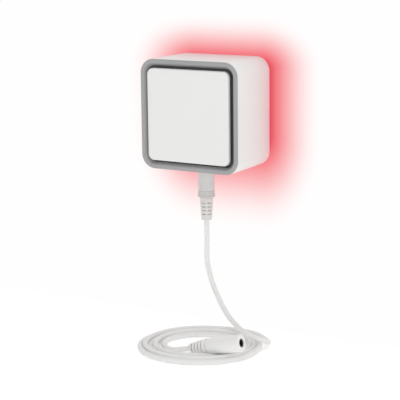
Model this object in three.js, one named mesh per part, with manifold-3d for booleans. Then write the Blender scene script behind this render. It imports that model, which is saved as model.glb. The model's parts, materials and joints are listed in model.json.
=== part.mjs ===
// Plug-in water leak alarm with a braided sensing cable. Millimetres, +Z up.
// Origin: centre of the wall face of the rear pad. +Y points into the wall, the front looks along -Y.
import * as THREE from 'three';
import { mergeVertices } from 'three/addons/utils/BufferGeometryUtils.js';
import Module from 'manifold-3d';

const wasm = await Module();
wasm.setup();

// ---------- driving dimensions ----------
const SIDE = 68;              // housing width and height
const CORNER = 9;             // housing corner radius
const WALL = 2.2;             // housing wall
const GAP = 0.3;              // clearance between neighbouring pieces
const RING_FRONT = -44.2;     // grey bezel, front edge
const RING_SEAM = -43.4;      // where the bezel meets the housing's rim
const RING_BACK = -41.4;      // back of the bezel's collar, inside the rim
const COLLAR = 65.2;          // collar width
const PLATE = 57.6;           // push plate width
const PLATE_CORNER = 4;
const GROOVE = 2.4;           // sound gap round the plate
const OPENING = PLATE + 2 * GROOVE;
const OPENING_CORNER = CORNER - WALL - 0.6;
const PLATE_FRONT = -45.4;
const PLATE_BACK = -42.6;
const CARRIER_BACK = -40.9;
const DECK_FRONT = -39.4;     // wall behind the plate
const DECK_BACK = -37.2;
const CUP_BACK = -34.2;       // spring cups behind the deck
const CUP_FLOOR = 1.2;
const SHELL_BACK = -4.8;
const COVER_FRONT = -4.5;
const COVER_BACK = -2.5;
const PAD = 46;               // raised pad that touches the wall plate
const POST = 20;              // guide posts at (+-POST, +-POST)
const BOSS = 25.5;            // cover screws at (+-BOSS, +-BOSS)
const JACK_Y = -23;           // axis of the cable socket
const BOTTOM = -SIDE / 2;
const STEM_Z = -17;           // height of the switch stem
const SIREN_Z = 9;
const CONTROL = [-28.7, -27.1]; // control board, front and back faces
const POWER = [-14, -12.4];     // power board, front and back faces
const LED_BOARD = [-7.6, -6.4];
const STANDOFF = [23, -4];    // control board screws, mirrored in x
const POWER_POST = [17, 19];  // power board screws, mirrored in x
const BLADE_X = 6.35;         // half of the 12.7 mm blade spacing
const BLADE = [1.5, 6.3];     // blade thickness and width
const BLADE_TIP = 17;

const CABLE = 3.3;            // braided cable diameter
const FLOOR = -141;           // surface that the cable lies on
const PLUG_TOP = BOTTOM - GAP;
const PLUG_WAIST = -53.2;     // body above, strain relief below
const PLUG_END = -68;
const COIL_AT = [14.2, -55.1];
const COIL_TURN = 0.533;      // the coil's long axis, radians about Z
const COIL_SQUASH = 0.87;
const COIL_INNER = 24.1;
const COIL_OUTER = 39.7;
const COIL_HEIGHT = 4.8;
const COUPLER_TAIL = [15, -69.5, -137];
const COUPLER_MOUTH = [50.5, -69.9, -128.2];
const COUPLER_RADIUS = 5.2;
const COUPLER_BORE = 2.7;
const COUPLER_DEPTH = 16;     // depth of that bore
const RELIEF_LENGTH = 13;     // coupler's strain relief

const part = new THREE.Group();

// ---------- materials ----------
function finish(color, roughness, metalness = 0) {
  return new THREE.MeshStandardMaterial({ color, roughness, metalness });
}
const white = finish(0xececea, 0.45);
const grey = finish(0xa9aaab, 0.5);
const milky = finish(0xf2dcdc, 0.4);
const metal = finish(0xc9c9c6, 0.3, 1);
const brass = finish(0xc8a558, 0.3, 1);
const board = finish(0x2c6b46, 0.6);
const black = finish(0x222224, 0.6);
const braid = finish(0xe2e2df, 0.85);
const foam = finish(0x3a3a3c, 0.9);

// ---------- helpers ----------
function add(name, geometry, material) {
  const mesh = new THREE.Mesh(geometry, material);
  mesh.name = name;
  part.add(mesh);
}

function toSolid(geometry) {
  const bare = geometry.clone();
  bare.deleteAttribute('normal');
  bare.deleteAttribute('uv');
  const merged = mergeVertices(bare, 1e-4);
  const vertProperties = new Float32Array(merged.attributes.position.array);
  const triVerts = new Uint32Array(merged.index.array);
  return new wasm.Manifold(new wasm.Mesh({ numProp: 3, vertProperties, triVerts }));
}

function toGeometry(solid) {
  const mesh = solid.getMesh();
  const geometry = new THREE.BufferGeometry();
  geometry.setAttribute('position', new THREE.BufferAttribute(new Float32Array(mesh.vertProperties), 3));
  geometry.setIndex(new THREE.BufferAttribute(new Uint32Array(mesh.triVerts), 1));
  return geometry;
}

// Joins the pieces to the base, then cuts the cuts out of it.
function carve(base, cuts, joins = []) {
  let solid = toSolid(base);
  for (const piece of joins) solid = solid.add(toSolid(piece));
  for (const piece of cuts) solid = solid.subtract(toSolid(piece));
  return toGeometry(solid);
}

function roundedSquare(width, radius) {
  const c = width / 2 - radius;
  const shape = new THREE.Shape();
  shape.absarc(c, c, radius, 0, Math.PI / 2);
  shape.absarc(-c, c, radius, Math.PI / 2, Math.PI);
  shape.absarc(-c, -c, radius, Math.PI, 1.5 * Math.PI);
  shape.absarc(c, -c, radius, 1.5 * Math.PI, 2 * Math.PI);
  shape.closePath();
  return shape;
}

// A flat shape (x, z) thickened from the plane y = back to y = front.
function slab(shape, front, back, bevel = 0) {
  const geometry = new THREE.ExtrudeGeometry(shape, {
    depth: back - front - 2 * bevel,
    bevelEnabled: bevel > 0,
    bevelThickness: bevel,
    bevelSize: bevel,
    bevelOffset: -bevel,
    bevelSegments: 2,
    curveSegments: 5,
  });
  geometry.rotateX(Math.PI / 2);
  geometry.translate(0, back - bevel, 0);
  return geometry;
}

// A cylinder along Y between two planes.
function rod(radius, front, back, [x, z], sides = 16) {
  const geometry = new THREE.CylinderGeometry(radius, radius, back - front, sides);
  geometry.translate(x, (front + back) / 2, z);
  return geometry;
}

function box([x0, x1], [y0, y1], [z0, z1]) {
  const geometry = new THREE.BoxGeometry(x1 - x0, y1 - y0, z1 - z0);
  geometry.translate((x0 + x1) / 2, (y0 + y1) / 2, (z0 + z1) / 2);
  return geometry;
}

// A profile of [radius, height] pairs turned about Z.
function turned(profile, sides = 24) {
  const points = profile.map(([r, z]) => new THREE.Vector2(r, z));
  const geometry = new THREE.LatheGeometry(points, sides);
  geometry.rotateX(Math.PI / 2);
  return geometry;
}

// The same profile turned about Y, at (x, z), its height measured along Y.
function turnedY(profile, [x, z], sides = 16) {
  const points = profile.map(([r, y]) => new THREE.Vector2(r, y));
  const geometry = new THREE.LatheGeometry(points, sides);
  geometry.translate(x, 0, z);
  return geometry;
}

// Lays a piece drawn along +Z from the origin on the line between two points.
function laid(geometry, from, to) {
  const direction = new THREE.Vector3(...to).sub(new THREE.Vector3(...from)).normalize();
  const turn = new THREE.Quaternion().setFromUnitVectors(new THREE.Vector3(0, 0, 1), direction);
  geometry.applyQuaternion(turn);
  geometry.translate(...from);
  return geometry;
}

function circle(radius, sides) {
  const points = [];
  for (let i = 0; i < sides; i++) {
    const angle = (2 * Math.PI * i) / sides;
    points.push(new THREE.Vector2(radius * Math.cos(angle), radius * Math.sin(angle)));
  }
  return new THREE.Shape(points);
}

function tube(curve, radius, sides, steps) {
  return new THREE.ExtrudeGeometry(circle(radius, sides), { steps, extrudePath: curve, bevelEnabled: false });
}

const QUARTERS = [[1, 1], [-1, 1], [-1, -1], [1, -1]];
const corners = (reach) => QUARTERS.map(([sx, sz]) => [reach * sx, reach * sz]);
const pair = ([x, z]) => [[x, z], [-x, z]];

// ---------- casing ----------
function housingShell() {
  const inner = roundedSquare(SIDE - 2 * WALL, CORNER - WALL);
  const well = roundedSquare(OPENING, OPENING_CORNER);
  const recess = roundedSquare(COLLAR + 2 * GAP, CORNER - (SIDE - COLLAR) / 2 + GAP);
  const socketHole = new THREE.CylinderGeometry(4.3, 4.3, 6, 24);
  socketHole.rotateX(Math.PI / 2);
  socketHole.translate(0, JACK_Y, BOTTOM);
  const hollow = toGeometry(toSolid(slab(roundedSquare(SIDE, CORNER), RING_SEAM + GAP, SHELL_BACK))
    .subtract(toSolid(slab(inner, DECK_BACK, SHELL_BACK + 1))));
  const joins = [
    ...corners(POST).map((at) => rod(4.5, DECK_BACK - 1, CUP_BACK, at, 20)),
    ...corners(BOSS).map((at) => rod(3, DECK_BACK - 1, -8, at)),
    ...pair(STANDOFF).map((at) => rod(2.5, DECK_BACK - 1, CONTROL[0] - GAP, at)),
  ];
  const cuts = [
    slab(recess, RING_SEAM - 1, RING_BACK + GAP),
    slab(well, RING_BACK - 1, DECK_FRONT),
    ...corners(POST).map((at) => rod(3.2, DECK_FRONT - 1, CUP_BACK - CUP_FLOOR, at, 20)),
    ...corners(POST).map((at) => rod(1.9, DECK_FRONT, CUP_BACK + 1, at, 12)),
    ...corners(BOSS).map((at) => rod(1.3, -17, -7, at, 12)),
    ...pair(STANDOFF).map((at) => rod(1.1, -36, CONTROL[0], at, 12)),
    rod(11, DECK_FRONT - 1, DECK_BACK + 1, [0, SIREN_Z], 28),
    rod(2.2, DECK_FRONT - 1, DECK_BACK + 1, [0, STEM_Z]),
    socketHole,
  ];
  return carve(hollow, cuts, joins);
}

function bezelRing() {
  const face = slab(roundedSquare(SIDE, CORNER), RING_FRONT, RING_SEAM, 0.35);
  const collar = slab(roundedSquare(COLLAR, CORNER - (SIDE - COLLAR) / 2), RING_SEAM - 0.4, RING_BACK);
  const opening = slab(roundedSquare(OPENING, OPENING_CORNER), RING_FRONT - 1, RING_BACK + 1);
  return carve(face, [opening], [collar]);
}

function lightRing() {
  const shape = roundedSquare(SIDE - 0.4, CORNER - 0.2);
  shape.holes.push(roundedSquare(60.6, 5.8));
  return slab(shape, COVER_FRONT, COVER_BACK);
}

function bladeSlot(side) {
  const [thick, wide] = [BLADE[0] / 2 + GAP, BLADE[1] / 2 + GAP];
  return box([side * BLADE_X - thick, side * BLADE_X + thick], [COVER_FRONT - 1, 1], [-wide, wide]);
}

function backCover() {
  const plate = slab(roundedSquare(59.8, 5.5), COVER_FRONT, COVER_BACK);
  const joins = [
    slab(roundedSquare(PAD, 5), COVER_BACK - 1, 0),
    ...pair(POWER_POST).map((at) => rod(2.5, POWER[1] + GAP, COVER_FRONT + 1, at)),
  ];
  const cuts = [
    ...corners(BOSS).map((at) => rod(1.4, COVER_FRONT - 1, 0, at, 12)),
    ...corners(BOSS).map((at) => rod(2.9, COVER_BACK - 1.1, 0, at)),
    ...pair(POWER_POST).map((at) => rod(1.1, POWER[1], -7, at, 12)),
    bladeSlot(-1),
    bladeSlot(1),
  ];
  return carve(plate, cuts, joins);
}

add('housing_shell', housingShell(), white);
add('bezel_ring', bezelRing(), grey);
add('light_ring', lightRing(), milky);
add('back_cover', backCover(), white);

// ---------- push plate, which mutes the alarm ----------
function plateCarrier() {
  const plate = slab(roundedSquare(54, 3), PLATE_BACK + GAP, CARRIER_BACK);
  const posts = corners(POST).map((at) => rod(1.5, CARRIER_BACK - 0.5, -31.8, at, 12));
  return carve(plate, [], [...posts, rod(1.5, CARRIER_BACK - 0.5, -34.3, [0, STEM_Z], 12)]);
}

class Helix extends THREE.Curve {
  constructor(radius, front, back, turns, [x, z]) {
    super();
    Object.assign(this, { radius, front, back, turns, x, z });
  }
  getPoint(t, target = new THREE.Vector3()) {
    const angle = 2 * Math.PI * this.turns * t;
    const y = this.front + (this.back - this.front) * t;
    return target.set(this.x + this.radius * Math.cos(angle), y, this.z + this.radius * Math.sin(angle));
  }
}

function returnSpring(at) {
  const wire = 0.3;
  const coil = new Helix(2.3, CARRIER_BACK + GAP + wire, CUP_BACK - CUP_FLOOR - GAP - wire, 3.5, at);
  return tube(coil, wire, 5, 28);
}

function postClip(at) {
  return turnedY([[1.6, -33.9], [2.8, -33.9], [2.8, -33.2], [1.6, -33.2], [1.6, -33.9]], at);
}

add('front_plate', slab(roundedSquare(PLATE, PLATE_CORNER), PLATE_FRONT, PLATE_BACK, 0.9), white);
add('plate_carrier', plateCarrier(), white);
corners(POST).forEach((at, i) => {
  add(`return_spring_${i + 1}`, returnSpring(at), metal);
  add(`post_clip_${i + 1}`, postClip(at), metal);
});

// ---------- siren ----------
const sirenAt = [0, SIREN_Z];
add('siren_gasket', turnedY([[11.5, -36.9], [14.6, -36.9], [14.6, -35.8], [11.5, -35.8], [11.5, -36.9]],
  sirenAt, 28), foam);
add('siren_body', turnedY([[0, -32.8], [12.6, -32.8], [12.6, -35.5], [14.6, -35.5], [14.6, -30.2],
  [0, -30.2]], sirenAt, 28), black);
add('siren_disc', turnedY([[0, -33.6], [12.2, -33.6], [12.2, -33.1], [0, -33.1]], sirenAt, 28), brass);

// ---------- control board ----------
function controlBoard() {
  const plate = slab(roundedSquare(58, 4), ...CONTROL);
  const cuts = [
    ...corners(BOSS).map((at) => rod(3.4, CONTROL[0] - 1, CONTROL[1] + 1, at)),
    ...pair(STANDOFF).map((at) => rod(1.2, CONTROL[0] - 1, CONTROL[1] + 1, at, 12)),
  ];
  return carve(plate, cuts);
}

// Head at y = seat; the shank points towards +Y or -Y.
function screw(at, seat, direction, headRadius, shankRadius, length) {
  const head = 0.9;
  const profile = [
    [0, seat - direction * head],
    [headRadius * 0.8, seat - direction * head],
    [headRadius, seat - direction * head * 0.5],
    [headRadius, seat],
    [shankRadius, seat],
    [shankRadius, seat + direction * (length - 0.8)],
    [0, seat + direction * length],
  ];
  if (direction < 0) profile.reverse();
  return turnedY(profile, at, 12);
}

add('control_board', controlBoard(), board);
add('switch_body', carve(box([-3, 3], [-32.6, CONTROL[0] - GAP], [STEM_Z - 3, STEM_Z + 3]),
  [rod(1.9, -33, -30.2, [0, STEM_Z])]), black);
add('switch_button', rod(1.6, -34, -31.6, [0, STEM_Z]), black);
add('processor', box([-23, -15], [-30, CONTROL[0] - GAP], [-17, -9]), black);
add('radio_module', box([-14, 4], [CONTROL[1] + GAP, -24.4], [12, 26]), metal);
add('board_link', box([19, 22], [CONTROL[1] + GAP, POWER[0] - GAP], [-20, -8]), black);
pair(STANDOFF).forEach((at, i) => {
  add(`board_screw_${i + 1}`, screw(at, CONTROL[1] + GAP, -1, 2, 0.9, 8), metal);
});

// ---------- power supply ----------
function powerBoard() {
  const plate = slab(roundedSquare(54, 4), ...POWER);
  const cuts = [
    ...corners(BOSS).map((at) => rod(3.4, POWER[0] - 1, POWER[1] + 1, at)),
    ...pair(POWER_POST).map((at) => rod(1.2, POWER[0] - 1, POWER[1] + 1, at, 12)),
  ];
  return carve(plate, cuts);
}

function blade(side) {
  const shape = new THREE.Shape();
  const half = BLADE[1] / 2;
  shape.moveTo(POWER[1] + GAP, -half);
  shape.lineTo(BLADE_TIP - 2, -half);
  shape.lineTo(BLADE_TIP, -half + 1.6);
  shape.lineTo(BLADE_TIP, half - 1.6);
  shape.lineTo(BLADE_TIP - 2, half);
  shape.lineTo(POWER[1] + GAP, half);
  shape.closePath();
  const geometry = new THREE.ExtrudeGeometry(shape, { depth: BLADE[0], bevelEnabled: false });
  geometry.applyMatrix4(new THREE.Matrix4().set(
    0, 0, 1, side * BLADE_X - BLADE[0] / 2, 1, 0, 0, 0, 0, 1, 0, 0, 0, 0, 0, 1));
  return geometry;
}

const onPower = POWER[0] - GAP;
add('power_board', powerBoard(), board);
add('transformer', box([-19, -3], [-23.8, onPower], [0, 14]), black);
add('bulk_capacitor', rod(4, -23, onPower, [9, 9], 20), black);
add('filter_capacitor', box([9, 19], [-21, onPower], [-7, -2]), brass);
add('fuse', box([-20, -11], [-18, onPower], [-14, -10.5]), milky);
add('blade_left', blade(-1), brass);
add('blade_right', blade(1), brass);
pair(POWER_POST).forEach((at, i) => {
  add(`power_screw_${i + 1}`, screw(at, onPower, 1, 2, 0.9, 6.5), metal);
});

// ---------- alarm light ----------
function ledBoard() {
  const shape = roundedSquare(59, 6);
  shape.holes.push(roundedSquare(43, 3));
  const cuts = corners(BOSS).map((at) => rod(1.4, LED_BOARD[0] - 1, LED_BOARD[1] + 1, at, 12));
  return carve(slab(shape, ...LED_BOARD), cuts);
}

add('led_board', ledBoard(), board);
[[0, 26], [-26, 0], [0, -26], [26, 0]].forEach(([x, z], i) => {
  add(`led_${i + 1}`, box([x - 2, x + 2], [LED_BOARD[1] + GAP, -4.9], [z - 2, z + 2]), milky);
});
corners(BOSS).forEach((at, i) => {
  add(`cover_screw_${i + 1}`, screw(at, COVER_BACK - 1.1 + GAP, -1, 2.5, 1, 12.5), metal);
});

// ---------- cable socket ----------
const socketBore = new THREE.CylinderGeometry(2.05, 2.05, 14, 16);
socketBore.rotateX(Math.PI / 2);
socketBore.translate(0, JACK_Y, -25.3);
add('jack_socket', carve(box([-5, 5], [CONTROL[1] + GAP, -19], [-31.4, -17]), [socketBore]), black);
const bush = turned([[2.1, -33.9], [4, -33.9], [4, -31.7], [2.1, -31.7], [2.1, -33.9]]);
bush.translate(0, JACK_Y, 0);
add('jack_bush', bush, metal);

// ---------- cable plug, hanging under the housing ----------
function onJack(profile, sides) {
  const geometry = turned(profile, sides);
  geometry.translate(0, JACK_Y, 0);
  return geometry;
}

add('plug_tip', onJack([[0, -25.4], [1.2, -25.4], [1.75, -24.9], [1.75, -23.4], [1.2, -22.6], [1.65, -21.6],
  [0.9, -20.3], [0, -20]], 12), metal);
add('plug_insulator', onJack([[0, -26.4], [1.6, -26.4], [1.6, -25.55], [0, -25.55]], 12), black);
add('plug_sleeve', onJack([[0, PLUG_TOP + 0.15], [1.75, PLUG_TOP + 0.15], [1.75, -26.55], [0, -26.55]], 12), metal);

function plugBody() {
  const profile = [[0, PLUG_WAIST], [4.4, PLUG_WAIST], [5.15, PLUG_WAIST + 0.7]];
  for (const z of [1.8, 3.5]) {
    profile.push([5.15, PLUG_WAIST + z], [4.75, PLUG_WAIST + z + 0.2], [4.75, PLUG_WAIST + z + 0.8],
      [5.1, PLUG_WAIST + z + 1]);
  }
  profile.push([4.9, PLUG_WAIST + 6], [4.9, PLUG_TOP - 0.8], [4.3, PLUG_TOP], [0, PLUG_TOP]);
  return onJack(profile, 24);
}

// A tapered sleeve with ring grooves, from its thin end at z = 0.
function ribbedSleeve(length, thin, thick, grooves) {
  const profile = [[0, 0], [thin, 0], [thin, 1.8]];
  const pitch = (length - 3) / grooves;
  for (let i = 0; i < grooves; i++) {
    const z = 2 + i * pitch;
    const radius = thin + ((thick - thin) * z) / length;
    profile.push([radius - 0.6, z], [radius - 0.6, z + pitch * 0.4], [radius, z + pitch * 0.4 + 0.1],
      [radius + 0.1, z + pitch - 0.2]);
  }
  profile.push([thick, length - 0.6], [thick, length], [0, length]);
  return profile;
}

add('plug_body', plugBody(), white);
const relief = turned(ribbedSleeve(PLUG_WAIST - GAP - PLUG_END, 3.2, 4, 4), 16);
relief.translate(0, JACK_Y, PLUG_END);
add('plug_strain_relief', relief, white);

// ---------- sensing cable ----------
// The route from the plug down to the coil; the coil itself is a plain ring.
const DROP = [
  [0, -23, -68.3], [0, -23, -76], [0, -23, -86], [-0.2, -23, -95.2], [2, -23.4, -102.5],
  [4.4, -24, -109], [8.2, -25.1, -115.3], [12.9, -27.2, -121.2], [18.8, -30.4, -126],
  [26.3, -35.4, -129], [34.2, -41.3, -130.2], [37.8, -43.7, -130.7], [42.1, -45.9, -131.4],
  [46.6, -46.1, -132.1], [49.8, -43.3, -133.8], [51.5, -38.9, -136.4], [51.1, -34.3, -138.3],
];
const TAIL = [[4, -72.3, -139.1], [8, -71.3, -138.6], [11.2, -70.2, -137.95], [14.6, -69.6, -137.1]];

function cord(points, steps) {
  const curve = new THREE.CatmullRomCurve3(points.map((p) => new THREE.Vector3(...p)));
  return tube(curve, CABLE / 2, 8, steps);
}

const couplerReach = new THREE.Vector3(...COUPLER_MOUTH).distanceTo(new THREE.Vector3(...COUPLER_TAIL));
const onCoupler = (profile, sides) => laid(turned(profile, sides), COUPLER_TAIL, COUPLER_MOUTH);

// Outer shape of the wound cable: an oval ring, lower at its edges, with a seat for the coupler.
function cordCoil() {
  const ring = turned([[COIL_INNER, 0], [COIL_OUTER, 0], [COIL_OUTER, 1.8], [COIL_OUTER - 3, COIL_HEIGHT],
    [COIL_INNER + 2.2, COIL_HEIGHT], [COIL_INNER, 2.8], [COIL_INNER, 0]], 48);
  ring.scale(1, COIL_SQUASH, 1);
  ring.rotateZ(COIL_TURN);
  ring.translate(...COIL_AT, FLOOR);
  const wide = COUPLER_RADIUS + GAP;
  const seat = onCoupler([[0, -2], [3 + GAP, -2], [wide, RELIEF_LENGTH], [wide, couplerReach + 2],
    [0, couplerReach + 2]]);
  return carve(ring, [seat]);
}

add('cord_drop', cord(DROP, 36), braid);
add('cord_coil', cordCoil(), braid);
add('cord_tail', cord(TAIL, 6), braid);

// ---------- coupler on the cable's far end, for an extension ----------
function couplerBody() {
  const start = RELIEF_LENGTH + GAP;
  return onCoupler([[0, start], [COUPLER_RADIUS - 0.3, start], [COUPLER_RADIUS, start + 0.6],
    [COUPLER_RADIUS, couplerReach - 0.9], [COUPLER_RADIUS - 0.8, couplerReach],
    [COUPLER_BORE + 0.2, couplerReach], [COUPLER_BORE, couplerReach - 0.4],
    [COUPLER_BORE, couplerReach - COUPLER_DEPTH], [0, couplerReach - COUPLER_DEPTH]]);
}

function couplerContact() {
  const [inner, outer] = [COUPLER_BORE - 0.9, COUPLER_BORE - GAP];
  const [deep, near] = [couplerReach - COUPLER_DEPTH + 1, couplerReach - 3];
  return onCoupler([[inner, deep], [outer, deep], [outer, near], [inner, near], [inner, deep]], 16);
}

add('coupler_strain_relief', onCoupler(ribbedSleeve(RELIEF_LENGTH, 3, 4.7, 4), 16), white);
add('coupler_body', couplerBody(), white);
add('coupler_contact', couplerContact(), metal);

export default part;
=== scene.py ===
"""Looks for the plug-in water leak alarm: housing, push plate, alarm light and the coiled sensing cable."""

import json
import math

import bmesh
import bpy
import numpy as np
from mathutils import Euler, Matrix, Vector
from mathutils.geometry import tessellate_polygon


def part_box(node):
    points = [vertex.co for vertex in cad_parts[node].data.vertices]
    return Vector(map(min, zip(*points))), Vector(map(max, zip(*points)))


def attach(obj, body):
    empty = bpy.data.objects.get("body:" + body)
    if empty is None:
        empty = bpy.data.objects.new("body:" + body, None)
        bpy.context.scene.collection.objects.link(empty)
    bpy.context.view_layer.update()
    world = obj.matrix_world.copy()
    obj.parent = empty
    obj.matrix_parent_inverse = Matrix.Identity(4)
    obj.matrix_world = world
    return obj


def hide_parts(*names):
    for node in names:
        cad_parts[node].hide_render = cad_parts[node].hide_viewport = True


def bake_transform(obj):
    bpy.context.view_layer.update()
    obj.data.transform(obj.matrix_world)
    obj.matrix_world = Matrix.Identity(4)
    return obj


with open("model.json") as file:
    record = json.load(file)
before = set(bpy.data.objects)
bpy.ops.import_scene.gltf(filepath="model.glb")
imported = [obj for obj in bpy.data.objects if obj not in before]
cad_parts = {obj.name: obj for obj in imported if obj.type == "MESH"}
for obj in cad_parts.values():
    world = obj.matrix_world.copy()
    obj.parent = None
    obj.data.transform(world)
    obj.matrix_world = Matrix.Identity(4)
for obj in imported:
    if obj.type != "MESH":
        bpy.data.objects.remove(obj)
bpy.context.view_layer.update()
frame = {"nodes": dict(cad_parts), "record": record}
nodes = frame["nodes"]

MM = 0.001

# ---------------------------------------------------------------- camera

CAMERA_AT = (0.4135, -0.7320, 0.1169)
CAMERA_YAW = 0.533
CAMERA_PITCH = 0.207
CAMERA_ROLL = -0.011
LENS_MM = 120.2

camera = bpy.data.objects.new("camera", bpy.data.cameras.new("camera"))
bpy.context.scene.collection.objects.link(camera)
camera.data.lens = LENS_MM
camera.data.sensor_width = 36
camera.data.clip_start = 0.01
turn = Euler((math.pi / 2 - CAMERA_PITCH, 0, CAMERA_YAW)).to_matrix() @ Matrix.Rotation(CAMERA_ROLL, 3, "Z")
camera.matrix_world = Matrix.Translation(CAMERA_AT) @ turn.to_4x4()
bpy.context.scene.camera = camera

# ---------------------------------------------------------------- sizes, from the frame

SHELL_LOW, SHELL_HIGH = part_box("housing_shell")
RING_LOW, RING_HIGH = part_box("bezel_ring")
LIGHT_LOW, LIGHT_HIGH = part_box("light_ring")
PLATE_LOW, PLATE_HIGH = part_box("front_plate")
PLUG_LOW, PLUG_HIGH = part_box("plug_body")
RELIEF_LOW, RELIEF_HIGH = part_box("plug_strain_relief")
BUSH_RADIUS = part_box("jack_bush")[1].x
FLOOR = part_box("cord_coil")[0].z
JACK_Y = (PLUG_LOW.y + PLUG_HIGH.y) / 2

HALF = SHELL_HIGH.x
CORNER = 9 * MM
WALL = 2.2 * MM
GROOVE_HALF = 31.2 * MM          # inner half width of the bezel
LIGHT_HALF = 30.4 * MM           # inner half width of the light ring
PLATE_HALF = PLATE_HIGH.x
PLATE_CORNER = 4 * MM
PLATE_GAP = 0.3 * MM             # how much further the plate keeps from the bezel
SEAM = 0.2 * MM                  # how far a rim closes up to its neighbour

DECK_FRONT = -39.4 * MM          # the wall behind the plate, which the siren sounds through
DECK_BACK = -37.2 * MM
POST_AT, POST_HOLE = 20 * MM, 3.2 * MM
SIREN_AT, SIREN_HOLE = 9 * MM, 11 * MM
STEM_AT, STEM_HOLE = -17 * MM, 2.2 * MM

PLUG_RADIUS = 5.1 * MM
PLUG_RINGS = ((4.2, 5.2), (2.8, 5.3), (1.4, 5.5))    # mm above the lower end, and their radius in mm
RELIEF_SLOTS = (10.9, 8.5, 6.1, 3.7)                 # their lower edges, in mm below the upper end
RIB_STEP = 60                                        # degrees from one rib to the next

# ---------------------------------------------------------------- cable route

CABLE = 3.3 * MM
CABLE_SIDES = 20
RING_STEP = 0.9 * MM
DROP = [
    (0, -23, -68.3), (0, -23, -76), (0, -23, -86), (-0.2, -23, -95.2), (2, -23.4, -102.5),
    (4.4, -24, -109), (8.2, -25.1, -115.3), (12.9, -27.2, -121.2), (18.8, -30.4, -126),
    (26.3, -35.4, -129), (34.2, -41.3, -130.2), (37.8, -43.7, -130.7), (42.1, -45.9, -131.4),
    (46.6, -46.1, -132.1), (49.8, -43.3, -133.8), (51.5, -38.9, -136.4), (51.1, -34.3, -138.3),
]
TAIL = [(4, -72.3, -139.1), (8, -71.3, -138.6), (11.2, -70.2, -137.95), (14.6, -69.6, -137.1)]
COIL_AT = Vector((14.2, -55.1)) * MM
COIL_TURN = 0.533
COIL_SQUASH = 0.87
COIL_START = 0.04                # in turns, counted from the coil's right end
COIL_END = 4.6
COIL_RADIUS = 38 * MM            # centreline of the outermost turn
COIL_SPACING = 3.05 * MM
COIL_NEST = 1.5 * MM             # how much higher every second turn lies
STEP_AT, STEP_OVER = 0.78, 0.3   # where in a turn it moves inwards, and over how much of it
POINTS_PER_TURN = 48
ARRIVING = ((COIL_START, 0.16, 0.34), (3.6, 1.6, 0))    # in turns, and how many mm further out it lies there
ARRIVING_RISE = 0.25             # how much higher it lies there, as a part of that
LEAVING = ((4.3, 4.45, COIL_END), (0, 0.9, 5.1))        # in turns, and how many mm further in
WANDER, WANDER_WAVES, WANDER_START = 0.18 * MM, 2.3, 0.6
CURVE_STEP = 1.2 * MM
EVEN_STEP = 1 * MM
JOIN = 2                         # points left out where two stretches meet
TAIL_HELD = 6                    # points at the tail's end, which runs into the coupler
COUPLER_TAIL = Vector((15, -69.5, -137)) * MM
COUPLER_MOUTH = Vector((50.5, -69.9, -128.2)) * MM
COUPLER_RELIEF = 13 * MM
COUPLER_RADIUS = 5.2 * MM
COUPLER_THIN = 3.2 * MM          # radius that the cable keeps clear of at the thin end


def catmull_rom(points, step):
    """Points about a step apart on the smooth curve through the given ones."""
    p = [np.array(q, float) for q in points]
    p = [2 * p[0] - p[1]] + p + [2 * p[-1] - p[-2]]
    out = []
    for a, b, c, d in zip(p, p[1:], p[2:], p[3:]):
        count = max(2, int(np.linalg.norm(c - b) / step))
        for t in np.arange(count) / count:
            square = (2 * a - 5 * b + 4 * c - d) * t**2
            cube = (3 * b - a - 3 * c + d) * t**3
            out.append(0.5 * (2 * b + (c - a) * t + square + cube))
    out.append(p[-2])
    return np.array(out)


def coil_points():
    """Turns that lie beside each other, each one further in and every second one a little higher."""
    turns = np.arange(COIL_START, COIL_END, 1 / POINTS_PER_TURN)
    whole = np.floor(turns - STEP_AT) + 1
    part = np.clip((turns - STEP_AT - whole + 1) / STEP_OVER, 0, 1)
    steps = np.maximum(whole - 1 + part * part * (3 - 2 * part), 0)
    arriving = np.interp(turns, *ARRIVING) * MM
    leaving = np.interp(turns, *LEAVING) * MM
    wander = WANDER * np.sin(WANDER_WAVES * 2 * np.pi * turns + WANDER_START)
    radius = COIL_RADIUS - COIL_SPACING * steps + arriving - leaving + wander
    height = CABLE / 2 + COIL_NEST * (1 - np.cos(np.pi * steps)) / 2 + ARRIVING_RISE * arriving
    angle = 2 * np.pi * turns
    u = radius * np.cos(angle)
    v = radius * np.sin(angle) * COIL_SQUASH
    x = COIL_AT.x + u * math.cos(COIL_TURN) - v * math.sin(COIL_TURN)
    y = COIL_AT.y + u * math.sin(COIL_TURN) + v * math.cos(COIL_TURN)
    return np.stack([x, y, FLOOR + height], 1)


def spaced(line, step):
    """The same line with its points a step apart."""
    far = np.concatenate([[0], np.cumsum(np.linalg.norm(np.diff(line, axis=0), axis=1))])
    places = np.linspace(0, far[-1], int(far[-1] / step) + 1)
    return np.stack([np.interp(places, far, line[:, i]) for i in range(3)], 1)


def smoothed(line, rounds):
    """Rounds off the joins between stretches, with both ends held."""
    for _ in range(rounds):
        line[1:-1] = (line[:-2] + 2 * line[1:-1] + line[2:]) / 4
    return line


def clear_of_coupler(line):
    """Turns that pass under the coupler give way to it."""
    axis = np.array((COUPLER_MOUTH - COUPLER_TAIL).normalized())
    start = np.array(COUPLER_TAIL)
    reach = (COUPLER_MOUTH - COUPLER_TAIL).length
    along = (line - start) @ axis
    foot = start + along[:, None] * axis
    away = line - foot
    far = np.linalg.norm(away, axis=1)
    radii = [COUPLER_THIN, COUPLER_RADIUS, COUPLER_RADIUS]
    room = np.interp(along, [0, COUPLER_RELIEF, reach], radii) + CABLE / 2
    inside = (along > 1 * MM) & (along < reach + 2 * MM) & (far < room)
    line[inside] = foot[inside] + away[inside] * (room / np.maximum(far, 1e-5))[inside][:, None]
    line[:, 2] = np.maximum(line[:, 2], FLOOR + CABLE / 2)
    return line


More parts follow.
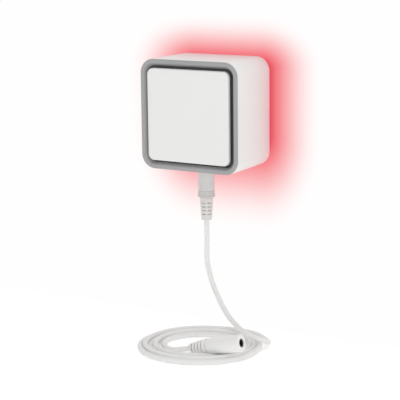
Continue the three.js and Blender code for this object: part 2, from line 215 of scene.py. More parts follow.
def cable_route():
    """Drop, coil and tail as one smooth line."""
    drop = catmull_rom(np.array(DROP) * MM, CURVE_STEP)
    coil = coil_points()
    tail = catmull_rom(np.array(TAIL) * MM, CURVE_STEP)
    body = np.concatenate([drop, coil[JOIN:], tail[JOIN:-TAIL_HELD]])
    body = smoothed(spaced(body, EVEN_STEP), rounds=10)
    body = smoothed(clear_of_coupler(body), rounds=12)
    line = spaced(np.concatenate([body, tail[-TAIL_HELD:]]), EVEN_STEP)
    return spaced(smoothed(line, rounds=8), RING_STEP)


# ---------------------------------------------------------------- mesh helpers


def mark_edges(bm, sharp_degrees):
    """Makes all faces smooth, and keeps the edges that bend by more than sharp_degrees hard."""
    for face in bm.faces:
        face.smooth = True
    for edge in bm.edges:
        if len(edge.link_faces) == 2:
            edge.smooth = edge.calc_face_angle(0) <= math.radians(sharp_degrees)


def finish_mesh(name, bm, body, sharp_degrees=40):
    """Turns a bmesh into a piece that rides on a CAD body, with its hard edges marked."""
    bmesh.ops.remove_doubles(bm, verts=bm.verts, dist=1e-7)
    bmesh.ops.recalc_face_normals(bm, faces=bm.faces)
    mark_edges(bm, sharp_degrees)
    mesh = bpy.data.meshes.new(name)
    bm.to_mesh(mesh)
    bm.free()
    piece = bpy.data.objects.new(name, mesh)
    bpy.context.scene.collection.objects.link(piece)
    if body:
        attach(piece, body)
    return piece


def filleted(points, arc_points=5):
    """A profile of (a, b, fillet radius) with its corners rounded, as (a, b) pairs."""
    out = []
    last = len(points) - 1
    for i, (a, b, radius) in enumerate(points):
        here = Vector((a, b))
        if radius <= 0 or i in (0, last):
            out.append(here)
            continue
        to_previous = (Vector(points[i - 1][:2]) - here).normalized()
        to_next = (Vector(points[i + 1][:2]) - here).normalized()
        half_angle = to_previous.angle(to_next) / 2
        if half_angle > math.pi / 2 - 0.01:
            out.append(here)
            continue
        back = radius / math.tan(half_angle)
        centre = here + (to_previous + to_next).normalized() * (radius / math.sin(half_angle))
        first = here + to_previous * back - centre
        final = here + to_next * back - centre
        sweep = math.atan2(first.x * final.y - first.y * final.x, first.dot(final))
        for k in range(arc_points + 1):
            angle = sweep * k / arc_points
            c, s = math.cos(angle), math.sin(angle)
            out.append(centre + Vector((c * first.x - s * first.y, s * first.x + c * first.y)))
    return [(p.x, p.y) for p in out]


SMALLEST_CORNER = 0.05 * MM


def square_loop(half, radius, y, per_corner=12):
    """Points round a rounded square in the plane at that y."""
    radius = max(radius, SMALLEST_CORNER)
    points = []
    for quarter in range(4):
        cx = (half - radius) * (1 if quarter in (0, 3) else -1)
        cz = (half - radius) * (1 if quarter in (0, 1) else -1)
        for k in range(per_corner + 1):
            angle = math.pi / 2 * (quarter + k / per_corner)
            points.append((cx + radius * math.cos(angle), y, cz + radius * math.sin(angle)))
    return points


def bridge(bm, loops, closed=False):
    """Faces between loops of equal length."""
    rows = [[bm.verts.new(p) for p in loop] for loop in loops]
    pairs = list(zip(rows, rows[1:]))
    if closed:
        pairs.append((rows[-1], rows[0]))
    for low, high in pairs:
        count = len(low)
        for i in range(count):
            j = (i + 1) % count
            bm.faces.new((low[i], low[j], high[j], high[i]))
    return rows


def square_ring(bm, half, corner, profile, closed):
    """Sweeps a profile of (inset, y) round a rounded square."""
    loops = [square_loop(half - inset, corner - inset, y) for inset, y in profile]
    return bridge(bm, loops, closed)


def turned(name, body, profile, origin, direction, sides=48, closed=False, sharp_degrees=40):
    """A profile of (radius, height) turned about a line. An open profile starts and ends on the axis."""
    bm = bmesh.new()
    around = [2 * math.pi * k / sides for k in range(sides)]
    rows = []
    for radius, height in profile:
        if radius < 1e-7:
            rows.append([bm.verts.new((0, 0, height))])
            continue
        rows.append([bm.verts.new((radius * math.cos(a), radius * math.sin(a), height)) for a in around])
    pairs = list(zip(rows, rows[1:]))
    if closed:
        pairs.append((rows[-1], rows[0]))
    for low, high in pairs:
        for i in range(sides):
            j = (i + 1) % sides
            corners = [low[i % len(low)], low[j % len(low)], high[j % len(high)], high[i % len(high)]]
            unique = [v for n, v in enumerate(corners) if v not in corners[:n]]
            if len(unique) > 2:
                bm.faces.new(unique)
    facing = Vector((0, 0, 1)).rotation_difference(Vector(direction)).to_matrix().to_4x4()
    bmesh.ops.transform(bm, matrix=Matrix.Translation(origin) @ facing, verts=bm.verts)
    return finish_mesh(name, bm, body, sharp_degrees)


def circle_loop(x, z, radius, y, sides=24):
    """Points round a circle in the plane at that y."""
    return [
        (x + radius * math.cos(2 * math.pi * k / sides), y, z + radius * math.sin(2 * math.pi * k / sides))
        for k in range(sides)
    ]


def holed_wall(bm, outline_front, outline_back, holes, front, back):
    """Closes both ends of a wall whose outlines exist, with round holes (x, z, radius) through it."""
    walls = []
    for x, z, radius in holes:
        loops = [circle_loop(x, z, radius, front), circle_loop(x, z, radius, back)]
        walls.append(bridge(bm, loops))
    for outline, side in ((outline_front, 0), (outline_back, 1)):
        rings = [outline] + [wall[side] for wall in walls]
        flat = [v for ring in rings for v in ring]
        for a, b, c in tessellate_polygon([[(v.co.x, v.co.z, 0) for v in ring] for ring in rings]):
            if len({a, b, c}) == 3:
                bm.faces.new((flat[a], flat[b], flat[c]))


# ---------------------------------------------------------------- materials


def shader(name, color, roughness, metallic=0.0, **sockets):
    """A material with a Principled shader, and that shader's node."""
    material = bpy.data.materials.new(name)
    material.use_nodes = True
    principled = material.node_tree.nodes["Principled BSDF"]
    principled.inputs["Base Color"].default_value = (*color, 1)
    principled.inputs["Roughness"].default_value = roughness
    principled.inputs["Metallic"].default_value = metallic
    for socket, value in sockets.items():
        principled.inputs[socket.replace("_", " ")].default_value = value
    return material, principled


def noise(material, scale, detail=3.0, vector=None):
    """A 0 to 1 value that varies over the piece, scale times in a metre."""
    tree = material.node_tree
    texture = tree.nodes.new("ShaderNodeTexNoise")
    texture.inputs["Scale"].default_value = scale
    texture.inputs["Detail"].default_value = detail
    if vector is None:
        vector = tree.nodes.new("ShaderNodeTexCoord").outputs["Object"]
    tree.links.new(vector, texture.inputs["Vector"])
    return texture.outputs["Fac"]


def mapped(material, value, low, high, socket):
    """Feeds a 0 to 1 value into a socket, stretched to a range."""
    tree = material.node_tree
    node = tree.nodes.new("ShaderNodeMapRange")
    node.inputs["To Min"].default_value = low
    node.inputs["To Max"].default_value = high
    tree.links.new(value, node.inputs["Value"])
    tree.links.new(node.outputs["Result"], socket)


def color_mix(material, factor, first, second, socket):
    """Feeds a colour between two others into a socket."""
    tree = material.node_tree
    node = tree.nodes.new("ShaderNodeMix")
    node.data_type = "RGBA"
    node.inputs[6].default_value = (*first, 1)
    node.inputs[7].default_value = (*second, 1)
    tree.links.new(factor, node.inputs[0])
    tree.links.new(node.outputs[2], socket)


def bump(material, principled, height, strength, distance):
    """Makes a 0 to 1 value stand up as relief, over a distance in metres."""
    tree = material.node_tree
    node = tree.nodes.new("ShaderNodeBump")
    node.inputs["Strength"].default_value = strength
    node.inputs["Distance"].default_value = distance
    tree.links.new(height, node.inputs["Height"])
    tree.links.new(node.outputs["Normal"], principled.inputs["Normal"])


def wire(tree, values, sockets):
    """Links each value that is another node's output, and sets the sockets of the plain ones."""
    for value, socket in zip(values, sockets):
        if isinstance(value, bpy.types.NodeSocket):
            tree.links.new(value, socket)
        else:
            socket.default_value = value


CLOUD_SCALE = 35
GLOSS_SCALE = 160
GLOSS_SPREAD = 0.05
GRAIN_HEIGHT = 0.2 * MM


def moulded(name, color, roughness, grain=2600, depth=0.02, tint=0.985, **sockets):
    """Moulded plastic: a fine spark-eroded grain, slightly uneven gloss and faint cloudiness."""
    material, principled = shader(name, color, roughness, **sockets)
    base, gloss = principled.inputs["Base Color"], principled.inputs["Roughness"]
    color_mix(material, noise(material, CLOUD_SCALE, 2), tuple(c * tint for c in color), color, base)
    mapped(material, noise(material, GLOSS_SCALE), roughness - GLOSS_SPREAD, roughness + GLOSS_SPREAD, gloss)
    bump(material, principled, noise(material, grain, 2), depth, GRAIN_HEIGHT)
    return material


def glowing(name, color, roughness, light, strength):
    """A material that gives light of its own."""
    material, principled = shader(name, color, roughness)
    principled.inputs["Emission Color"].default_value = (*light, 1)
    principled.inputs["Emission Strength"].default_value = strength
    return material


STRAND_WAVE = 0.35               # how strongly a strand rises over and dives under the others
STRAND_HEIGHT = 0.25 * MM


def braided(name, color, painted_valley_shade, strands, pitch):
    """A braided sleeve: two sets of strands wind the opposite way and dive under each other, with painted
    shade in the valleys between them.
    """
    material, principled = shader(name, color, 0.72, Sheen_Weight=0.25, Sheen_Roughness=0.4)
    tree = material.node_tree

    def math_node(operation, *values):
        node = tree.nodes.new("ShaderNodeMath")
        node.operation = operation
        wire(tree, values, node.inputs)
        return node.outputs[0]

    uv = tree.nodes.new("ShaderNodeUVMap")
    split = tree.nodes.new("ShaderNodeSeparateXYZ")
    tree.links.new(uv.outputs["UV"], split.inputs[0])
    round_it = math_node("MULTIPLY", split.outputs["X"], 2 * math.pi * strands)
    along = math_node("MULTIPLY", split.outputs["Y"], 2 * math.pi / pitch)
    rising = math_node("SINE", math_node("ADD", round_it, along))
    falling = math_node("SINE", math_node("SUBTRACT", round_it, along))
    weave = math_node("SINE", round_it)
    over = math_node("MULTIPLY_ADD", weave, STRAND_WAVE, rising)
    under = math_node("MULTIPLY_ADD", weave, -STRAND_WAVE, falling)
    height = math_node("MAXIMUM", over, under)
    level = math_node("MULTIPLY_ADD", height, 0.4, 0.45)
    # Painted shade: the valleys between the strands get a darker colour.
    color_mix(material, level, painted_valley_shade, color, principled.inputs["Base Color"])
    bump(material, principled, height, 0.55, STRAND_HEIGHT)
    return material


WHITE = moulded("housing_white", (0.82, 0.82, 0.81), 0.42, Coat_Weight=0.15, Coat_Roughness=0.25)
PLATE_WHITE = moulded(
    "plate_white", (0.81, 0.81, 0.80), 0.42, grain=3200, Coat_Weight=0.1, Coat_Roughness=0.3,
)
GREY = moulded("bezel_grey", (0.36, 0.36, 0.365), 0.42, tint=0.95)
# Painted shade: a dark grey put on the hollow behind the plate and on the bottoms of the plug's slots, where
# shade falls.
PAINTED_SHADE_GREY = moulded("painted_shade_grey", (0.14, 0.14, 0.145), 0.6, tint=0.9)
PLUG_WHITE = moulded(
    "plug_white", (0.82, 0.82, 0.81), 0.3, grain=1800, Coat_Weight=0.3, Coat_Roughness=0.15,
)
# Painted shade: the plug and its strain relief are darker copies of the plug plastic, for the shade of the
# housing above them.
PLUG_PAINTED_SHADE = moulded("plug_painted_shade", (0.61, 0.59, 0.58), 0.4, grain=1800)
RELIEF_PAINTED_SHADE = moulded("relief_painted_shade", (0.70, 0.68, 0.665), 0.4, grain=1800)
# Painted shade at the bottoms of the coupler's ring grooves.
GROOVE_PAINTED_SHADE = moulded("groove_painted_shade", (0.40, 0.39, 0.38), 0.6, grain=1800)
BRAID = braided("braid_white", (0.96, 0.96, 0.945), (0.74, 0.74, 0.73), strands=8, pitch=1.6 * MM)
DIFFUSER = moulded("diffuser", (0.86, 0.72, 0.73), 0.35, Subsurface_Weight=0.3, Subsurface_Scale=2 * MM)
GLOW = glowing("alarm_glow", (0.9, 0.25, 0.27), 0.4, light=(1, 0.09, 0.11), strength=1.5)
LENS = glowing("led_lens", (0.95, 0.5, 0.5), 0.25, light=(1, 0.12, 0.14), strength=4)


def brushed(name, color, roughness):
    """Plated or drawn metal with fine scratches along one way."""
    material, principled = shader(name, color, roughness, 1.0)
    tree = material.node_tree
    place = tree.nodes.new("ShaderNodeMapping")
    place.inputs["Scale"].default_value = (1, 0.04, 1)
    tree.links.new(tree.nodes.new("ShaderNodeTexCoord").outputs["Object"], place.inputs["Vector"])
    scratches = noise(material, 2500, 3, place.outputs["Vector"])
    mapped(material, scratches, roughness - 0.08, roughness + 0.12, principled.inputs["Roughness"])
    bump(material, principled, scratches, 0.08, 0.1 * MM)
    return material


NICKEL = brushed("nickel", (0.74, 0.72, 0.68), 0.22)
STEEL = brushed("steel", (0.62, 0.62, 0.61), 0.3)
BRASS = brushed("brass", (0.80, 0.60, 0.28), 0.28)
BLACK = moulded("black_plastic", (0.025, 0.025, 0.028), 0.5)
FOAM = moulded("foam", (0.05, 0.05, 0.055), 0.9, grain=900, depth=0.5)
CAPACITOR = moulded("capacitor_film", (0.45, 0.33, 0.10), 0.4)


def circuit_board():
    """Green solder mask with paler copper lines under it."""
    material, principled = shader("circuit_board", (0.02, 0.16, 0.07), 0.35, Coat_Weight=0.4)
    tree = material.node_tree
    tracks = tree.nodes.new("ShaderNodeTexBrick")
    for socket, value in (
        ("Scale", 260), ("Mortar Size", 0.06), ("Mortar", (0.06, 0.30, 0.12, 1)),
        ("Color1", (0.02, 0.15, 0.065, 1)), ("Color2", (0.025, 0.19, 0.08, 1)),
    ):
        tracks.inputs[socket].default_value = value
    turned_flat = tree.nodes.new("ShaderNodeMapping")
    turned_flat.inputs["Rotation"].default_value = (math.pi / 2, 0, 0)
    tree.links.new(tree.nodes.new("ShaderNodeTexCoord").outputs["Object"], turned_flat.inputs["Vector"])
    tree.links.new(turned_flat.outputs["Vector"], tracks.inputs["Vector"])
    tree.links.new(tracks.outputs["Color"], principled.inputs["Base Color"])
    return material


BOARD = circuit_board()

SLOT_MATERIALS = {
    "steel": STEEL, "brass": BRASS, "blade_metal": NICKEL, "board": BOARD, "foam": FOAM, "led": LENS,
    "white_plastic": WHITE, "grey_plastic": GREY, "black_plastic": BLACK, "plate_plastic": PLATE_WHITE,
    "plug_plastic": PLUG_WHITE, "diffuser": DIFFUSER, "braid": BRAID, "inner_parts": CAPACITOR,
}


def dress(piece, *materials):
    """Gives a piece its materials, in the place of any it has."""
    piece.data.materials.clear()
    for material in materials:
        piece.data.materials.append(material)
    return piece


def repaint(piece, chosen):
    """Gives the second material to the faces that the test picks, and the first to the others."""
    for polygon in piece.data.polygons:
        polygon.material_index = int(chosen(polygon))


def soften(piece, width):
    """A small rounding on the edges of a carried-over CAD piece."""
    bevel = piece.modifiers.new("edges", "BEVEL")
    bevel.width = width
    bevel.segments = 2
    bevel.limit_method = "ANGLE"
    bevel.angle_limit = math.radians(40)


for entry in frame["record"]["subparts"]:
    dress(nodes[entry["node"]], SLOT_MATERIALS[entry["material_slot"]])

# ---------------------------------------------------------------- cable


def cable_mesh(line):
    """A tube of even rings along the line, with its own length and turn as UV."""
    tangents = np.gradient(line, axis=0)
    tangents /= np.linalg.norm(tangents, axis=1)[:, None]
    side = np.cross(tangents[0], (0, 1, 0))
    side /= np.linalg.norm(side)
    far = np.concatenate([[0], np.cumsum(np.linalg.norm(np.diff(line, axis=0), axis=1))])
    bm = bmesh.new()
    uv = bm.loops.layers.uv.new("UVMap")
    rows = []
    for point, tangent in zip(line, tangents):
        side = side - tangent * (side @ tangent)
        side /= np.linalg.norm(side)
        other = np.cross(tangent, side)
        row = []
        for k in range(CABLE_SIDES):
            angle = 2 * math.pi * k / CABLE_SIDES
            row.append(bm.verts.new(point + CABLE / 2 * (math.cos(angle) * side + math.sin(angle) * other)))
        rows.append(row)
    for i, (low, high) in enumerate(zip(rows, rows[1:])):
        for k in range(CABLE_SIDES):
            j = (k + 1) % CABLE_SIDES
            face = bm.faces.new((low[k], low[j], high[j], high[k]))
            places = ((k, i), (k + 1, i), (k + 1, i + 1), (k, i + 1))
            for loop, (a, b) in zip(face.loops, places):
                loop[uv].uv = (a / CABLE_SIDES, far[b])
    bm.faces.new(rows[0])
    bm.faces.new(rows[-1])
    return bm


route = cable_route()
cable = finish_mesh("sensing_cable", cable_mesh(route), None)
dress(cable, BRAID)
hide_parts("cord_drop", "cord_coil", "cord_tail")
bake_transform(cable)

# ---------------------------------------------------------------- housing


def housing():
    """A hollow shell with a floor behind the plate, holes for the siren, the switch stem and the posts."""
    rear, front = SHELL_HIGH.y + SEAM, SHELL_LOW.y - SEAM
    rim = HALF - GROOVE_HALF
    lip = 1.15 * MM
    step = RING_HIGH.y + 0.3 * MM
    profile = filleted([
        (WALL, DECK_BACK, 0), (WALL, rear, 0.4 * MM), (0, rear, 0.3 * MM), (0, front, 0.3 * MM),
        (lip, front, 0.1 * MM), (lip, step, 0), (rim, step, 0.2 * MM), (rim, DECK_FRONT, 0),
    ])
    bm = bmesh.new()
    rows = square_ring(bm, HALF, CORNER, profile, False)
    posts = [(sx * POST_AT, sz * POST_AT, POST_HOLE) for sx in (-1, 1) for sz in (-1, 1)]
    holes = posts + [(0, SIREN_AT, SIREN_HOLE), (0, STEM_AT, STEM_HOLE)]
    holed_wall(bm, rows[-1], rows[0], holes, DECK_FRONT, DECK_BACK)
    return finish_mesh("housing", bm, "housing", 35)


def bore_for_jack(piece):
    """Cuts the round hole that the socket's bush sits in."""
    radius = BUSH_RADIUS + 0.1 * MM
    bm = bmesh.new()
    bmesh.ops.create_cone(bm, cap_ends=True, segments=48, radius1=radius, radius2=radius, depth=12 * MM)
    cutter = finish_mesh("jack_cutter", bm, None)
    cutter.location = (0, JACK_Y, -HALF)
    cut = piece.modifiers.new("bore", "BOOLEAN")
    cut.object = cutter
    bpy.context.view_layer.update()
    bored = bpy.data.meshes.new_from_object(piece.evaluated_get(bpy.context.evaluated_depsgraph_get()))
    piece.modifiers.remove(cut)
    bpy.data.objects.remove(cutter)
    bm = bmesh.new()
    bm.from_mesh(bored)
    mark_edges(bm, 35)
    bm.to_mesh(bored)
    bm.free()
    piece.data = bored


def in_the_well(polygon):
    """Whether a face of the housing lies in the space behind the plate."""
    x, y, z = polygon.center
    return y < DECK_BACK and max(abs(x), abs(z)) < GROOVE_HALF + 0.1 * MM


shell = housing()
bore_for_jack(shell)
# The faces in the space behind the plate get painted shade.
dress(shell, WHITE, PAINTED_SHADE_GREY)
repaint(shell, in_the_well)
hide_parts("housing_shell")


def bezel():
    """A trim ring with a rounded outer edge and a face that slopes into the sound gap."""
    rim = HALF - GROOVE_HALF + 0.3 * MM
    front, back, seam = RING_LOW.y, RING_HIGH.y, RING_LOW.y + 0.8 * MM
    tongue, face, slope = 1.4 * MM, 2.4 * MM, 1.1 * MM
    profile = filleted([
        (tongue, back, 0), (tongue, seam, 0), (0.03 * MM, seam, 0.02 * MM), (0, front, 0.75 * MM),
        (face, front, 0.5 * MM), (rim, seam, 0.5 * MM), (rim + slope, back, 0),
    ], 6)
    bm = bmesh.new()
    square_ring(bm, HALF, CORNER, profile, True)
    return finish_mesh("bezel", bm, "housing", 50)


ring = dress(bezel(), GREY)
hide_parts("bezel_ring")


def alarm_ring():
    """The translucent ring at the housing's rear edge. Its profile closes on itself."""
    rear, front = LIGHT_HIGH.y, LIGHT_LOW.y
    inset = 0.03 * MM
    inner = HALF - LIGHT_HALF
    profile = filleted([
        (inner, rear, 0), (inner, front, 0.2 * MM), (inset, front, 0.1 * MM), (inset, rear, 0.35 * MM),
        (inner, rear, 0),
    ])[:-1]
    bm = bmesh.new()
    square_ring(bm, HALF, CORNER, profile, True)
    return finish_mesh("alarm_light", bm, "housing", 50)


alarm = dress(alarm_ring(), DIFFUSER, GLOW)
repaint(alarm, lambda polygon: polygon.normal.y > 0.6)
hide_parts("light_ring")

# ---------------------------------------------------------------- push plate


def push_plate():
    """A flat plate whose face rolls off softly at its edge."""
    front, back = PLATE_LOW.y, PLATE_HIGH.y
    bm = bmesh.new()
    profile = filleted([
        (0.5 * MM, back, 0), (0, back, 0.3 * MM), (0, front, 1.0 * MM), (3 * MM, front, 0),
    ], 8)
    rows = square_ring(bm, PLATE_HALF - PLATE_GAP, PLATE_CORNER, profile, False)
    bm.faces.new(rows[0])
    bm.faces.new(rows[-1])
    return finish_mesh("push_plate_face", bm, "push_plate", 40)


plate = dress(push_plate(), PLATE_WHITE)
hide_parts("front_plate")


# ---------------------------------------------------------------- plug and coupler


def groove_profile(length, thin, thick, grooves, depth):
    """A tapered sleeve from its thin end, with rounded ring grooves, as (radius, height, fillet)."""
    out = [(0, 0, 0), (thin - 0.15 * MM, 0, 0), (thin, 0.2 * MM, 0), (thin, 1.7 * MM, 0.1 * MM)]
    pitch = (length - 3 * MM) / grooves
    for i in range(grooves):
        z = 2 * MM + i * pitch
        radius = thin + (thick - thin) * z / length
        after = thin + (thick - thin) * (z + pitch) / length
        gap = 0.36 * pitch
        out += [
            (radius, z, 0.12 * MM), (radius - depth, z + 0.08 * MM, 0.1 * MM),
            (radius - depth, z + gap - 0.08 * MM, 0.1 * MM), (after, z + gap, 0.15 * MM),
        ]
    return out + [(thick, length - 0.2 * MM, 0.15 * MM), (thick - 0.3 * MM, length, 0), (0, length, 0)]


DOWN = (0, 0, -1)


def plug_body():
    """A straight grip that ends in three fine rings, the last of them a wider lip."""
    length = PLUG_HIGH.z - PLUG_LOW.z
    wide, groove, mouth = PLUG_RADIUS, 0.25 * MM, 4.3 * MM
    profile = [(0, 0, 0), (wide - groove, 0, 0.3 * MM), (wide, 0.9 * MM, 0.4 * MM)]
    for above, radius in PLUG_RINGS:
        here, following = length - above * MM, radius * MM
        profile += [
            (wide, here, 0.06 * MM), (wide - groove, here + 0.08 * MM, 0.04 * MM),
            (wide - groove, here + 0.36 * MM, 0.04 * MM), (following, here + 0.44 * MM, 0.08 * MM),
        ]
        wide = following
    profile += [(wide, length, 0.3 * MM), (mouth, length, 0), (0, length, 0)]
    return turned("plug_grip", "jack_plug", filleted(profile, 3), (0, JACK_Y, PLUG_HIGH.z), DOWN, 64)


def plug_relief():
    """A tapered sleeve with four rows of short slots between six lengthwise ribs."""
    length = RELIEF_HIGH.z - RELIEF_LOW.z
    thin, thick, depth, slot, lip = 3.3 * MM, 4.1 * MM, 1.1 * MM, 0.65 * MM, 0.05 * MM
    round_off, proud = 0.3, -0.12                    # mm inwards from the taper
    heights = [(0.0, round_off), (0.3 * MM, 0.0), (2.2 * MM, 0.0), (2.35 * MM, proud)]
    slots = []
    for below in RELIEF_SLOTS:
        low = length - below * MM
        slots += [len(heights) + 1]
        heights += [(z, proud) for z in (low, low + lip, low + slot - lip, low + slot)]
    heights += [(length - 0.3 * MM, 0.0), (length, round_off)]
    ribs = [math.radians(a) for a in range(-RIB_STEP, 360 - RIB_STEP, RIB_STEP)]
    rib_half, slot_from = math.radians(9), math.radians(10)
    columns = []
    for rib, following in zip(ribs, ribs[1:] + [ribs[0] + 2 * math.pi]):
        low, high = rib + slot_from, following - slot_from
        columns += [(rib - rib_half, False), (rib, False), (rib + rib_half, False)]
        columns += [(low + (high - low) * k / 5, True) for k in range(6)]
    bm = bmesh.new()
    rows = []
    for i, (z, inward) in enumerate(heights):
        radius = thin + (thick - thin) * z / length - inward * MM
        row = []
        for angle, open_here in columns:
            here = radius - (depth if open_here and (i in slots or i - 1 in slots) else 0)
            place = (here * math.cos(angle), JACK_Y + here * math.sin(angle), RELIEF_LOW.z + z)
            row.append(bm.verts.new(place))
        rows.append(row)
    for i, (low, high) in enumerate(zip(rows, rows[1:])):
        for k in range(len(columns)):
            j = (k + 1) % len(columns)
            face = bm.faces.new((low[k], low[j], high[j], high[k]))
            # The bottoms of the slots get painted shade.
            face.material_index = int(i in slots and columns[k][1] and columns[j][1])
    bm.faces.new(rows[0])
    bm.faces.new(rows[-1])
    return finish_mesh("plug_sleeve_grip", bm, "jack_plug", 40)


COUPLER_AXIS = (COUPLER_MOUTH - COUPLER_TAIL).normalized()
COUPLER_REACH = (COUPLER_MOUTH - COUPLER_TAIL).length


def coupler_body():
    """A round grip that widens from its strain relief, with an open bore at its mouth."""
    start, reach, bore = COUPLER_RELIEF + 0.3 * MM, COUPLER_REACH, 2.6 * MM
    bottom = reach - 16 * MM
    r = COUPLER_RADIUS
    profile = filleted([
        (0, start, 0), (4.75 * MM, start, 0.3 * MM), (5.0 * MM, start + 1.2 * MM, 0.6 * MM),
        (r, start + 4 * MM, 3 * MM), (r, reach, 1.0 * MM), (bore, reach, 0.35 * MM), (bore, bottom, 0),
        (0, bottom, 0),
    ], 6)
    return turned("coupler_grip", "housing", profile, COUPLER_TAIL, COUPLER_AXIS, 64)


def coupler_relief():
    """A tapered sleeve with four ring grooves, which have painted shade at their bottom."""
    thin, thick, depth = 2.9 * MM, 4.8 * MM, 0.7 * MM
    profile = filleted(groove_profile(COUPLER_RELIEF, thin, thick, 4, depth), 3)
    sleeve = turned("coupler_sleeve_grip", "housing", profile, COUPLER_TAIL, COUPLER_AXIS, 48)
    dress(sleeve, PLUG_WHITE, GROOVE_PAINTED_SHADE)

    def in_a_groove(polygon):
        reach = (polygon.center - COUPLER_TAIL).dot(COUPLER_AXIS)
        radius = (polygon.center - COUPLER_TAIL - COUPLER_AXIS * reach).length
        low = radius < thin + (thick - thin) * reach / COUPLER_RELIEF - 0.6 * depth
        return low and 1.5 * MM < reach < COUPLER_RELIEF - 1 * MM

    repaint(sleeve, in_a_groove)
    return sleeve


def dark_bore():
    """The coupler's insulator, a dark ring just inside its mouth."""
    inner, outer = 1.85 * MM, 2.55 * MM
    low, high = COUPLER_REACH - 2.6 * MM, COUPLER_REACH - 0.6 * MM
    profile = [(inner, low), (outer, low), (outer, high), (inner, high)]
    return turned("coupler_insulator", "housing", profile, COUPLER_TAIL, COUPLER_AXIS, 40, closed=True)


# The plug's pieces get the darker copies of the plug plastic as painted shade.
on_plug = [dress(plug_body(), PLUG_PAINTED_SHADE), dress(plug_relief(), RELIEF_PAINTED_SHADE, PAINTED_SHADE_GREY)]
on_coupler = [dress(coupler_body(), PLUG_WHITE), coupler_relief(), dress(dark_bore(), BLACK)]
MOULDED_ON = ("plug_body", "plug_strain_relief", "coupler_body", "coupler_strain_relief")
for piece, stood_for in zip(on_plug + on_coupler[:2], MOULDED_ON):
    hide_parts(stood_for)

for name in ("blade_left", "blade_right", "back_cover", "jack_bush"):
    soften(nodes[name], 0.2 * MM)

# ---------------------------------------------------------------- stage and light


def flat_stage(name, corners, material):
    """A flat sheet that is part of the stage, not of the object."""
    mesh = bpy.data.meshes.new(name)
    mesh.from_pydata(corners, [], [(0, 1, 2, 3)])
    thing = bpy.data.objects.new(name, mesh)
    bpy.context.scene.collection.objects.link(thing)
    thing.data.materials.append(material)


def upright(half_width, y, low, high):
    """Corners of an upright rectangle that faces the front."""
    return [(-half_width, y, low), (half_width, y, low), (half_width, y, high), (-half_width, y, high)]


# The alarm's red halo is painted on the wall as emission round the housing's outline, standing in for its
# light. It is stronger at the housing's right and top edge than at its left and lower edge, and fades
# faster.
PAINTED_HALO_HIGH = (25.8 * MM, 0, 25.6 * MM)
PAINTED_HALO_LOW = (-19 * MM, 0, -15 * MM)
PAINTED_HALO_FALL_HIGH = (1.24, 0, 1.6)
PAINTED_HALO_FALL_LOW = (1, 0, 0.84)
PAINTED_HALO_REACH = 44 * MM
PAINTED_HALO_STOPS = [
    (0, (0.78, 0.085, 0.115)), (0.08, (0.90, 0.16, 0.19)), (0.25, (0.95, 0.34, 0.36)),
    (0.45, (0.98, 0.58, 0.59)), (0.65, (1, 0.82, 0.82)), (0.82, (1, 0.95, 0.95)), (1, (1, 1, 1)),
]


def wall_material():
    """White wall with a painted red halo, standing in for the alarm's light, round the housing's outline.
    Clear from behind.
    """
    material = bpy.data.materials.new("stage_wall")
    material.use_nodes = True
    tree = material.node_tree
    tree.nodes.clear()

    def vector_math(operation, *values):
        node = tree.nodes.new("ShaderNodeVectorMath")
        node.operation = operation
        wire(tree, values, node.inputs)
        return node.outputs["Value" if operation == "LENGTH" else "Vector"]

    def ramp_of(value, stops):
        ramp = tree.nodes.new("ShaderNodeValToRGB")
        ramp.color_ramp.interpolation = "B_SPLINE"
        for element, (position, color) in zip(ramp.color_ramp.elements, (stops[0], stops[-1])):
            element.position = position
            element.color = (*color, 1)
        for position, color in stops[1:-1]:
            ramp.color_ramp.elements.new(position).color = (*color, 1)
        tree.links.new(value, ramp.inputs["Fac"])
        return ramp.outputs["Color"]

    place = tree.nodes.new("ShaderNodeTexCoord").outputs["Object"]
    past_high = vector_math("MAXIMUM", vector_math("SUBTRACT", place, PAINTED_HALO_HIGH), (0, 0, 0))
    past_low = vector_math("MAXIMUM", vector_math("SUBTRACT", PAINTED_HALO_LOW, place), (0, 0, 0))
    over_high = vector_math("MULTIPLY", past_high, PAINTED_HALO_FALL_HIGH)
    over_low = vector_math("MULTIPLY", past_low, PAINTED_HALO_FALL_LOW)
    length = vector_math("LENGTH", vector_math("ADD", over_high, over_low))
    reach = tree.nodes.new("ShaderNodeMapRange")
    reach.inputs["From Min"].default_value = CORNER
    reach.inputs["From Max"].default_value = CORNER + PAINTED_HALO_REACH
    tree.links.new(length, reach.inputs["Value"])
    tree.links.new(ramp_of(reach.outputs["Result"], PAINTED_HALO_STOPS), one_sided_light(tree).inputs["Color"])
    return material


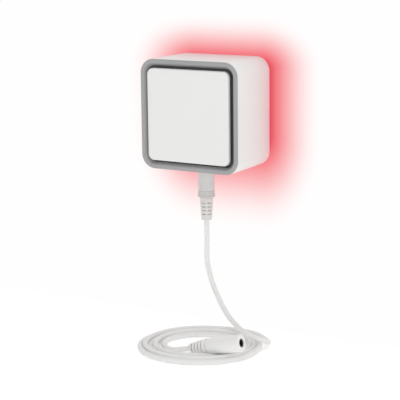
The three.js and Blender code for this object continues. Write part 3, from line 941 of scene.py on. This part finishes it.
def one_sided_light(tree):
    """Emission on the front of a surface, nothing on its back."""
    light = tree.nodes.new("ShaderNodeEmission")
    clear = tree.nodes.new("ShaderNodeBsdfTransparent")
    choose = tree.nodes.new("ShaderNodeMixShader")
    tree.links.new(tree.nodes.new("ShaderNodeNewGeometry").outputs["Backfacing"], choose.inputs["Fac"])
    tree.links.new(light.outputs[0], choose.inputs[1])
    tree.links.new(clear.outputs[0], choose.inputs[2])
    tree.links.new(choose.outputs[0], tree.nodes.new("ShaderNodeOutputMaterial").inputs["Surface"])
    return light


def patch_material():
    """The wall right behind the housing stays white, so that the back cover shows its own colour."""
    material = bpy.data.materials.new("stage_patch")
    material.use_nodes = True
    material.node_tree.nodes.clear()
    one_sided_light(material.node_tree).inputs["Color"].default_value = (0.8, 0.8, 0.8, 1)
    return material


REACH = 3.0
WALL_Y = 0.4 * MM
PATCH, PATCH_Y = 27 * MM, WALL_Y - 0.1 * MM
FLOOR_WHITE = glowing("stage_floor", (0.95, 0.95, 0.95), 0.9, light=(1, 1, 1), strength=0.22)
floor_corners = [(x * REACH, y * REACH, FLOOR) for x, y in ((-1, -1), (1, -1), (1, 1), (-1, 1))]
flat_stage("floor", floor_corners, FLOOR_WHITE)
flat_stage("wall", upright(REACH, WALL_Y, FLOOR, REACH), wall_material())
flat_stage("patch", upright(PATCH, PATCH_Y, -PATCH, PATCH), patch_material())


def area_light(name, at, target, size, power):
    """A soft square lamp that faces its target."""
    lamp = bpy.data.objects.new(name, bpy.data.lights.new(name, "AREA"))
    bpy.context.scene.collection.objects.link(lamp)
    lamp.data.size = size
    lamp.data.energy = power
    lamp.location = at
    lamp.rotation_euler = (Vector(target) - Vector(at)).to_track_quat("-Z", "Y").to_euler()


MIDDLE = (0, -0.02, -0.03)
area_light("front", (-0.25, -1.1, 0.35), MIDDLE, 0.6, 1.3)
area_light("side", (0.8, -0.8, 0.12), MIDDLE, 0.4, 1.5)
area_light("top", (0.15, -0.6, 0.95), MIDDLE, 0.4, 2.2)

world = bpy.data.worlds.new("studio")
bpy.context.scene.world = world
world.use_nodes = True
sky = world.node_tree.nodes["Background"]
sky.inputs["Color"].default_value = (1, 1, 1, 1)
sky.inputs["Strength"].default_value = 0.47
bpy.context.scene.view_settings.view_transform = "Standard"
